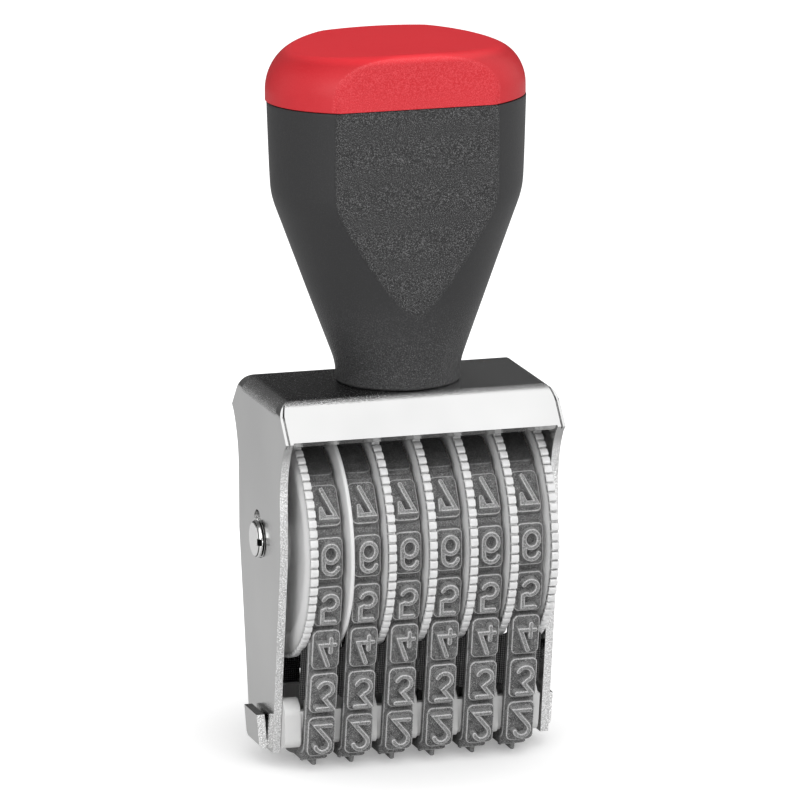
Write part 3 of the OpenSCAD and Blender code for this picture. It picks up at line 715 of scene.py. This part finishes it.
def digitAt(i, s):
    # digits up from 1 in front, the others and 0 low at the back, -1 for a blank tile
    total = s["free"] + s["hubSides"] // 2 + 1
    if i < s["frontDigits"]:
        return i + 1
    return (i + 11 - total) % 10 if i >= total - 10 + s["frontDigits"] else -1


def digitStrokes(d, s):
    # centre lines (open) and rings (closed) of a digit, upright
    cx = (s["digitWidth"] - s["stroke"] - s["digitInset"]) / 2
    cy = (s["digitSize"] - s["stroke"] - s["digitInset"]) / 2
    bowl, ring = cy - cx, 0.6 * cy

    def arc(y, start, end):
        turns = np.radians(np.linspace(start, end, s["arcPoints"]))
        return [(cx * math.cos(a), y + cx * math.sin(a)) for a in turns]

    def oval(y, ry):
        return [(cx * math.cos(a), y + ry * math.sin(a)) for a in fullTurn(s["ringPoints"])]

    lines = {
        1: [[(-0.7 * cx, 0.45 * cy), (0.1 * cx, cy), (0.1 * cx, -cy)]],
        2: [arc(bowl, 165, -40) + [(-cx, -cy), (cx, -cy)]],
        3: [[(-cx, cy), (cx, cy), (-0.1 * cx, 0.25 * cy)] + arc(-bowl, 70, -155)],
        4: [[(0.1 * cx, cy), (-cx, -0.55 * cy), (cx, -0.55 * cy)], [(0.4 * cx, 0), (0.4 * cx, -cy)]],
        5: [[(0.7 * cx, cy), (-0.95 * cx, cy), (-cx, 0.1 * cy)] + arc(-bowl, 120, -155)],
        6: [[(-cx, ring - cy)] + arc(bowl, 180, 15)],
        7: [[(-0.9 * cx, 0.35 * cy), (-cx, cy), (cx, cy), (-0.5 * cx, -cy)],
            [(-0.85 * cx, 0.45 * cy), (-0.55 * cx, 0.92 * cy)]],
        9: [[(cx, cy - ring)] + arc(-bowl, 0, -165)],
    }.get(d, [])
    rings = {0: [oval(0, cy)], 6: [oval(ring - cy, ring)], 8: [oval(cy / 2, cy / 2), oval(-cy / 2, cy / 2)],
             9: [oval(cy - ring, ring)]}.get(d, [])
    return lines, rings


def ribbon(line, half, closed, endTurns):
    # left and right edges of a line of even width, with rounded ends where it is open
    pts = [Vector(p) for p in line]
    n = len(pts)
    dirs = [(pts[(i + 1) % n] - pts[i]).normalized() for i in range(n if closed else n - 1)]
    rows = []
    for i in range(n):
        u = dirs[i - 1] if closed or i > 0 else dirs[0]
        v = dirs[i % len(dirs)] if closed or i < n - 1 else dirs[-1]
        m = (u + v).normalized()
        reach = min(1 / max(m.dot(u), 0.2), 2.2)  # a sharp corner is cut short
        side = Vector((-m.y, m.x)) * half * reach
        rows.append((pts[i] + side, pts[i] - side))
    if not closed:
        def roundEnd(point, ahead):
            across = Vector((-ahead.y, ahead.x))
            return [(point + ahead * half * math.sin(t) + across * half * math.cos(t),
                     point + ahead * half * math.sin(t) - across * half * math.cos(t)) for t in endTurns]
        start = [(b, a) for a, b in roundEnd(pts[0], -dirs[0])]
        rows = start[::-1] + rows + roundEnd(pts[-1], dirs[-1])
    return rows


def strokeSolid(line, closed, s, lift, points, faces, rims):
    # a raised stroke with sloping walls and a bevelled top, from outlines of six points
    half = s["stroke"] / 2
    low = s["thick"] / 2 + s["tileHeight"] - s["digitSink"]
    top = s["thick"] / 2 + s["tileHeight"] + s["digitHeight"] - lift
    layers = [(half + s["digitDraft"] + s["digitFoot"], low), (half + s["digitBelly"], top - s["digitEdge"]),
              (half - s["digitEdge"], top)]
    foot, wall, edge, face = s["digitWear"]
    start = len(points)
    for pairs in zip(*(ribbon(line, width, closed, s["endTurns"]) for width, _ in layers)):
        rows = [(a, b, z) for (a, b), (_, z) in zip(pairs, layers)]
        points += [(a.x, a.y, z) for a, _, z in rows] + [(b.x, b.y, z) for _, b, z in rows[::-1]]
    count = (len(points) - start) // 6
    spans = count if closed else count - 1
    faces += shifted(tubeFaces(count, 6)[:6 * spans], start)
    rims += [wall, edge, face, edge, wall, foot] * spans
    if not closed:
        for end in (0, 6 * spans):
            faces += shifted([(0, 1, 4, 5), (1, 2, 3, 4)], start + end)
            rims += [wall, edge]


def rimmedPiece(name, points, faces, rims, s):
    mesh = newMesh(name, points, faces, rubberFinish)
    mesh.attributes.new("rim", "FLOAT", "FACE").data.foreach_set("value", rims)
    tidyNormals(mesh, s["rubberSharp"])
    return bpy.data.objects.new(name, mesh)


def digitSource(d, s):
    points, faces, rims = [], [], []
    lines, rings = digitStrokes(d, s)
    # crossing strokes end a hair below each other
    for k, line in enumerate(lines + rings):
        flipped = [(x, -y) for x, y in line]
        strokeSolid(flipped, k >= len(lines), s, s["crossing"] * k, points, faces, rims)
    return rimmedPiece("digit%d" % d, points, faces, rims, s)


def tileSource(s):
    # a block with rounded corners, sloping walls and a bevelled top
    def outline(grow):
        w, l, r = s["tileWidth"] / 2 + grow, s["tileLength"] / 2 + grow, s["tileCorner"] + grow
        ring = []
        for k, (x, y) in enumerate(((1, 1), (-1, 1), (-1, -1), (1, -1))):
            turns = np.radians(90 * k + np.linspace(0, 90, s["tilePoints"]))
            ring += [(x * (w - r) + r * math.cos(t), y * (l - r) + r * math.sin(t)) for t in turns]
        return ring

    top = s["thick"] / 2 + s["tileHeight"]
    wall, edge = s["tileWearAndHighlight"]
    # how far the outline grows, height, wear and painted highlight of the faces up to here
    levels = [(s["tileDraft"], s["tileFoot"], 0), (s["tileDraft"], s["thick"] / 2, 0),
              (s["tileBelly"], top - s["tileEdge"], wall),
              (-s["tileEdge"] * s["tileRound"], top - s["tileEdge"] * s["tileRound"], edge),
              (-s["tileEdge"], top, edge)]
    points = [(x, y, z) for grow, z, _ in levels for x, y in outline(grow)]
    count = len(outline(0))
    rims = [rim for _, _, rim in levels[1:] for _ in range(count)] + [0, 0]
    return rimmedPiece("bandTile", points, ringFaces(count, len(levels)), rims, s)


def newTree(name, **inputs):
    # a geometry tree, with the kind and the default of each input after the geometry
    tree = bpy.data.node_groups.new(name, "GeometryNodeTree")
    for way in ("INPUT", "OUTPUT"):
        tree.interface.new_socket("Geometry", in_out=way, socket_type="NodeSocketGeometry")
    for key, (kind, default) in inputs.items():
        kind = "NodeSocket" + kind
        made = tree.interface.new_socket(key.replace("_", " "), in_out="INPUT", socket_type=kind)
        if default is not None:
            made.default_value = default
    return tree, functools.partial(newNode, tree), newNode(tree, "NodeGroupInput").outputs


def closeTree(add, geometry, finish):
    # copies made real, painted and handed out
    real = add("GeometryNodeRealizeInstances", {}, geometry)
    painted = add("GeometryNodeSetMaterial", {}, real.outputs[0], Material=finish)
    add("NodeGroupOutput", {}, painted.outputs[0])


def bandTree(tile, digits):
    # tiles and digits set on the band's points
    tree, add, given = newTree("bandPositions", Tile_Scale=("Float", 1), Digit_Scale=("Float", 1),
                               Finish=("Material", None))
    kind, name = "GeometryNodeInputNamedAttribute", "Attribute"
    turn = add(kind, {"data_type": "FLOAT_VECTOR"}, Name="turn").outputs[name]
    digit = add(kind, {"data_type": "INT"}, Name="digit").outputs[name]
    hasDigit = add("FunctionNodeCompare", {"data_type": "INT", "operation": "GREATER_EQUAL"}, digit)
    spots = add("GeometryNodeMeshToPoints", {}, given["Geometry"]).outputs[0]
    tileIn = add("GeometryNodeObjectInfo", {}, tile)
    digitIn = add("GeometryNodeCollectionInfo", {}, digits, Separate_Children=True, Reset_Children=True)
    tiles = add("GeometryNodeInstanceOnPoints", {}, Points=spots, Instance=tileIn.outputs["Geometry"],
                Rotation=turn, Scale=given["Tile Scale"])
    marks = add("GeometryNodeInstanceOnPoints", {}, Points=spots, Selection=hasDigit.outputs[0],
                Instance=digitIn.outputs[0], Pick_Instance=True, Instance_Index=digit, Rotation=turn,
                Scale=given["Digit Scale"])
    both = add("GeometryNodeJoinGeometry", {}, tiles.outputs[0])
    tree.links.new(marks.outputs[0], both.inputs[0])
    closeTree(add, both.outputs[0], given["Finish"])
    return tree


def loopLine(s, p):
    # the middle layer as dense points, each with its outward direction
    hubR = s["midFlat"] / math.cos(p["half"])
    footY = -s["noseHalf"] - s["cornerR"] * math.tan((math.pi / 2 - p["lean"]) / 2)
    turns = [(2 * j - 1) * p["half"] for j in range(s["hubSides"] // 2 + 2)]
    # y, z and rounding of each corner
    corners = [(-hubR * math.cos(t), s["axleZ"] + hubR * math.sin(t), s["hubBend"]) for t in turns]
    foot = [(y, s["cornerZ"] - s["cornerR"], s["cornerR"]) for y in (footY, -footY)]
    corners = foot[:1] + corners + foot[1:]
    line, n = [], len(corners)
    for i, (y, z, r) in enumerate(corners):
        here = Vector((y, z))
        back = (here - Vector(corners[i - 1][:2])).normalized()
        ahead = (Vector(corners[(i + 1) % n][:2]) - here).normalized()
        bend = back.angle(ahead)
        start = here - back * r * math.tan(bend / 2)
        inward = Vector((-back.y, back.x))
        if inward.dot(ahead) < 0:
            inward = -inward
        centre = start + inward * r
        steps = max(3, int(math.degrees(bend) / s["bendStep"]))
        for k in range(steps + 1):
            t = bend * k / steps
            outward = -inward * math.cos(t) + back * math.sin(t)
            line.append((centre + outward * r, outward))
    return line


def shadeBackingRows(s, p, left, right):
    # the woven backing, wider than the rubber between the wheel and the bridge, fills the gaps between the
    # bands: a dark sheet standing in for shade; front run, then back run
    rows = []
    sin, cos = math.sin(p["lean"]), math.cos(p["lean"])
    inner, outer = s["backDepth"]
    for side in (-1, 1):
        for z in np.linspace(*s["backZ"], s["backRows"]):
            run = (z - s["cornerZ"] + s["cornerR"] * sin) / cos
            y = s["noseHalf"] + s["cornerR"] * cos + run * sin
            share = min(1.0, min(z - s["backZ"][0], s["backZ"][1] - z) / s["backTaper"])
            inset = 1 - share**2 * (3 - 2 * share)
            a, b = (reach + (s["width"] / 2 - s["backInset"] - reach) * inset for reach in (left, right))
            rows.append(([(x, side * (y - depth * cos), z + depth * sin)
                          for x, depth in ((-a, inner), (b, inner), (b, outer), (-a, outer))], run))
    return rows


def buildStrip(s, p, left, right):
    line = loopLine(s, p)
    w, h, e = s["width"] / 2, s["thick"] / 2, s["edge"]
    section = [(-w + e, -h), (w - e, -h), (w, -h + e), (w, h - e), (w - e, h), (-w + e, h), (-w, h - e),
               (-w, -h + e)]
    points, runs, run = [], [], 0.0
    for i, (mid, outward) in enumerate(line):
        if i:
            run += (mid - line[i - 1][0]).length
        points += [(x, *(mid + outward * d)) for x, d in section]
        runs += [run * mm] * len(section)
    side, edge = s["bandWearAndHighlight"]
    faces = tubeFaces(len(line), len(section))
    which = [1, 0, 0, 0, 0, 0, 0, 0] * len(line)  # the first span of a section is the woven inner face
    rims = [side, side, side, edge, side, edge, side, side] * len(line)
    for q, run in shadeBackingRows(s, p, left, right):
        points += q
        runs += [run * mm] * len(q)
    for k in range(2):
        made = shifted(ringFaces(4, s["backRows"]), len(line) * len(section) + k * 4 * s["backRows"])
        faces += made
        which += [1] * len(made)
        rims += [0] * len(made)
    mesh = newMesh("bandStrip", points, faces, rubberFinish, fabricFinish)
    mesh.polygons.foreach_set("material_index", which)
    mesh.attributes.new("rim", "FLOAT", "FACE").data.foreach_set("value", rims)
    mesh.attributes.new("run", "FLOAT", "POINT").data.foreach_set("value", runs)
    tidyNormals(mesh, s["stripSharp"])
    return mesh


def buildBands(s, p):
    tile = tileSource(s)
    digits = bpy.data.collections.new("digitShapes")
    for d in range(10):
        digits.objects.link(digitSource(d, s))
    tree = bandTree(tile, digits)
    total = s["free"] + s["hubSides"] // 2 + 1
    poses = [tilePose(i, s, p) for i in range(total)]
    turns = [v for _, _, a in poses for v in (math.pi / 2 - a, 0, 0)]
    bands = []
    for k, centre in enumerate(s["centres"], 1):
        name = "numberBand%d" % k
        mesh = newMesh("positions", [(0, y, z) for y, z, _ in poses], [])
        mesh.attributes.new("turn", "FLOAT_VECTOR", "POINT").data.foreach_set("vector", turns)
        marks = mesh.attributes.new("digit", "INT", "POINT")
        marks.data.foreach_set("value", [digitAt(i, s) for i in range(total)])
        band = grown(placed(name, mesh), "positions", tree, Finish=rubberFinish)
        gaps = [centre - c for c in s["centres"]]
        left = min([s["backHalf"]] + [g / 2 - s["backGap"] for g in gaps if g > 0])
        right = min([s["backHalf"]] + [-g / 2 - s["backGap"] for g in gaps if g < 0])
        parts = (band.data, buildStrip(s, p, left, right))
        band.data = joined(name, parts, rubberFinish, fabricFinish)
        band.data.transform(Matrix.Translation((centre * mm, 0, 0)))
        band.data.set_sharp_from_angle(angle=math.radians(s["sharp"]))
        bands.append(band)
    return bands


def triangles(piece):
    return sum(len(q.vertices) - 2 for q in piece.data.polygons)


bands = buildBands(bandSizes, path)
print("bands made:", len(bands), "triangles each about", triangles(bands[0]))


wheelSizes = {
    "axleZ": 33.7, "around": 192, "rim": 17.9, "valley": 17.45, "width": 1.15, "edge": 0.16, "sharp": 32,
    "bore": 2.86, "boreEdge": 0.15, "boss": 6.0, "dish": 8.0, "dishDepth": 0.3, "dishSlope": 0.25,
    "teeth": 76, "toothShare": 0.74, "toothRound": 0.2, "toothRoot": 0.35, "toothFlare": 0.05,
    "toothArc": (0.3, math.pi / 2, 5), "toothEdge": 0.1, "toothEndDrop": 0.07, "toothEndShare": 0.93,
    "toothSharp": 50,
    "hubX": (-17.42, -11.62, -5.37, 0.88, 7.13, 13.38), "hubLength": 5.0, "hubSides": 12, "hubFlat": 12.6,
    "hubEdge": 0.12, "hubInDisc": 0.3, "hubPoints": 96, "hubSharp": 20,
}


def toothSource(s):
    # one tooth, its root at the origin and its tip along +Z
    pitch = 2 * math.pi * s["rim"] / s["teeth"]
    wide, tall, r = pitch * s["toothShare"], s["rim"] - s["valley"] + s["toothRoot"], s["toothRound"]
    profile = [(-wide / 2 - s["toothFlare"], 0), (-wide / 2, tall - r)]
    for t in np.linspace(*s["toothArc"]):
        profile.append((-wide / 2 + r - r * math.cos(t), tall - r + r * math.sin(t)))
    profile += [(-y, z) for y, z in profile[::-1]]
    ends = [(y * s["toothEndShare"], z - (s["toothEndDrop"] if z > 0 else 0)) for y, z in profile]
    half, e = s["width"] / 2, s["toothEdge"]
    rings = [(-half, ends), (e - half, profile), (half - e, profile), (half, ends)]
    points = [(x, y, z) for x, ring in rings for y, z in ring]
    mesh = newMesh("wheelTooth", points, ringFaces(len(profile), len(rings)))
    tidyNormals(mesh, s["toothSharp"])
    return bpy.data.objects.new("wheelTooth", mesh)


def toothTree(tooth):
    # teeth set around a circle about the X axis
    tree, add, given = newTree("toothRing", Teeth=("Int", 76), Root_Radius=("Float", 0.017),
                               Centre=("Vector", None), Finish=("Material", None))
    quarter = (0, math.pi / 2, 0)  # turns the tooth's tip from +Z to +X, then the ring's axis from Z to X
    ring = add("GeometryNodeMeshCircle", {}, given["Teeth"], given["Root Radius"])
    index = add("GeometryNodeInputIndex").outputs[0]
    share = add("ShaderNodeMath", {"operation": "DIVIDE"}, index, given["Teeth"])
    angle = add("ShaderNodeMath", {"operation": "MULTIPLY"}, share.outputs[0], 2 * math.pi)
    turn = add("ShaderNodeCombineXYZ", {}, Z=angle.outputs[0])
    source = add("GeometryNodeObjectInfo", {}, tooth)
    upright = add("GeometryNodeTransform", {}, source.outputs["Geometry"], Rotation=quarter)
    place = add("GeometryNodeInstanceOnPoints", {}, ring.outputs[0], Instance=upright.outputs[0],
                Rotation=turn.outputs[0])
    lay = add("GeometryNodeTransform", {}, place.outputs[0], Rotation=quarter, Translation=given["Centre"])
    closeTree(add, lay.outputs[0], given["Finish"])
    return tree


def wheelProfile(s, outer):
    # half section of the disc: x from its middle, radius; outer is -1 or 1
    w, e, d = s["width"] / 2, s["edge"], s["dishDepth"]
    bore, chamfer, boss, dish = s["bore"], s["boreEdge"], s["boss"], s["boss"] + s["dish"]
    section = [(-w, bore), (-w, s["valley"] - e), (-w + e, s["valley"]), (w - e, s["valley"]),
               (w, s["valley"] - e), (w, dish + s["dishSlope"]), (w - d, dish), (w - d, boss),
               (w, boss - s["dishSlope"]), (w, bore + chamfer), (w - chamfer, bore)]
    return [(outer * x, r) for x, r in section]


def buildHub(k, s):
    # a tube with flats outside, run a little into its disc
    n, half, start = s["hubPoints"], math.pi / s["hubSides"], s["hubX"][k - 1]
    end, e = start + s["hubLength"], s["hubEdge"]
    rings = [(start, -e), (start + e, 0), (end - e, 0), (end, -e)]
    if k == 1:
        rings[0] = (start - s["hubInDisc"], 0)
    else:
        rings[3] = (end + s["hubInDisc"], 0)
    bore = [(x, s["bore"]) for x in (rings[3][0], rings[0][0])]
    points = []
    for x, grow in rings:
        points += [aboutAxle(x, (s["hubFlat"] + grow) / math.cos((a + half) % (2 * half) - half), a, s)
                   for a in fullTurn(n)]
    points += [aboutAxle(x, r, a, s) for x, r in bore for a in fullTurn(n)]
    return newPiece("hub", points, tubeFaces(len(points) // n, n), wheelFinish, s["hubSharp"])


def buildWheel(k, s, tree):
    # the first wheel has its disc on the left of its hub, the others on the right
    outer = -1 if k == 1 else 1
    discX = s["hubX"][k - 1] + outer * s["width"] / 2 + (0 if k == 1 else s["hubLength"])
    disc = lathe("disc", [(discX + x, r) for x, r in wheelProfile(s, outer)], s, wheelFinish)
    ring = grown(placed("ring", newMesh("ring", [], [])), "teeth", tree, Teeth=s["teeth"], Finish=wheelFinish,
                 Root_Radius=(s["valley"] - s["toothRoot"]) * mm, Centre=(discX * mm, 0, s["axleZ"] * mm))
    parts = (disc, buildHub(k, s), ring)
    whole = joined("thumbWheel%d" % k, [part.data for part in parts], wheelFinish)
    for part in parts:
        bpy.data.objects.remove(part)
    for face in whole.polygons:
        face.material_index = 0
    smooth(whole, s["sharp"])
    return placed(whole.name, whole)


teethOnRing = toothTree(toothSource(wheelSizes))
wheels = [buildWheel(k, wheelSizes, teethOnRing) for k in range(1, 7)]
print("wheels made:", len(wheels), "triangles each about", triangles(wheels[1]))


# these keep their CAD solids
for node in ("grip_screw", "screw_washer", "axle_spacer", "axle_washer"):
    paint(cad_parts[node].data, steelFinish)
print("plain parts painted")


studio = {
    # in mm; the lift is how much the camera sees added to the floor, near the object and far from it
    "floor": 6000, "floorColour": grey(0.8), "nearLift": 0.3, "farLift": 0.68, "liftReach": (14, 62),
    "sky": 0.62,
    # name, place and aim in mm, size in mm, watts
    "lamps": [("keyLamp", (260, -900, 620), (0, 0, 50), 1000, 2.6),
              ("topLamp", (200, -500, 780), (0, 0, 50), 860, 2.0),
              ("leftLamp", (-680, -740, 400), (0, 0, 40), 600, 2.8)],
    # corners of the dark card behind and above, and how far its lighter left part reaches
    "card": [(-700, 520, -10), (900, 520, -10), (900, 520, 670), (300, 520, 670), (-700, 520, 670),
             (157, -60, 670), (-700, -60, 670)],
    "cardLeft": (20, 130),
}


def buildFloor(s):
    f = Finish("paleFloor")
    f.surface(Base_Color=s["floorColour"], Roughness=0.9, Specular_IOR_Level=0.0)
    seen = f.node("LightPath", out="Is Camera Ray")
    away = f.node("VectorMath", {"operation": "LENGTH"}, f.place, out="Value")
    lift = away.rise(s["liftReach"]) * (s["farLift"] - s["nearLift"]) + s["nearLift"]
    glow = f.node("Emission", {}, Strength=seen * lift)
    feed(f.tree, f.ending.inputs["Surface"], f.node("AddShader", {}, f.shader.outputs[0], glow))
    h = s["floor"] / 2
    corners = [(-h, -h, 0), (h, -h, 0), (h, h, 0), (-h, h, 0)]
    placed("floor", newMesh("floor", corners, [(0, 1, 2, 3)], f.material))


def buildWorld(s):
    # white where it is seen and in reflections, and a plain level of light elsewhere
    world = bpy.data.worlds.new("studioSky")
    world.use_nodes = True
    bpy.context.scene.world = world
    world.node_tree.nodes.clear()
    add = functools.partial(newNode, world.node_tree)
    rays = add("ShaderNodeLightPath").outputs
    seen = rays["Is Camera Ray"]
    for name in ("Is Glossy Ray", "Is Transmission Ray"):
        seen = add("ShaderNodeMath", {"operation": "MAXIMUM"}, seen, rays[name]).outputs[0]
    plain, white = (add("ShaderNodeBackground", {}, grey(1), level).outputs[0] for level in (s["sky"], 1))
    add("ShaderNodeOutputWorld", {}, add("ShaderNodeMixShader", {}, seen, plain, white).outputs[0])


def buildLamps(s):
    for name, place, aim, size, watts in s["lamps"]:
        lamp = bpy.data.lights.new(name, "AREA")
        lamp.shape = "SQUARE"
        lamp.size = size * mm
        lamp.energy = watts
        holder = placed(name, lamp)
        holder.location = Vector(place) * mm
        holder.rotation_euler = (Vector(aim) - Vector(place)).to_track_quat("-Z", "Y").to_euler()


def buildCard(s):
    # a dark card behind and above, seen only in polished and glossy surfaces
    f = Finish("darkCard")
    shade = f.mix(f.axes()[0].rise(s["cardLeft"]), grey(0.16), grey(0.075))
    f.surface(Base_Color=shade, Roughness=0.9, Specular_IOR_Level=0.0)
    card = placed("darkCard", newMesh("darkCard", s["card"], [(0, 1, 2, 3, 4), (4, 3, 5, 6)], f.material))
    card.visible_camera = card.visible_diffuse = card.visible_shadow = False


buildFloor(studio)
buildWorld(studio)
buildLamps(studio)
buildCard(studio)
bpy.context.scene.view_settings.view_transform = "Standard"
print("floor and light placed")


# piece, slot, node that it replaces
fixed = [(sheet, "frame_steel", "frame_shell"), (grip, "grip_plastic", "grip_body"),
         (cap, "cap_plastic", "grip_cap"), (pin, "axle_steel", "axle"), (bridge, "bridge_plastic", "bridge"),
         (divider, "separator_plastic", "band_separator")]
for piece, slot, node in fixed:
    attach(piece, "frame")
    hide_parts(node)
for k, band in enumerate(bands, 1):
    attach(band, "frame")
    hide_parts("number_band_%d" % k)
for k, wheel in enumerate(wheels, 1):
    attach(wheel, "wheel_%d" % k)
    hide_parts("thumb_wheel_%d" % k)

print("pieces ride on their bodies")
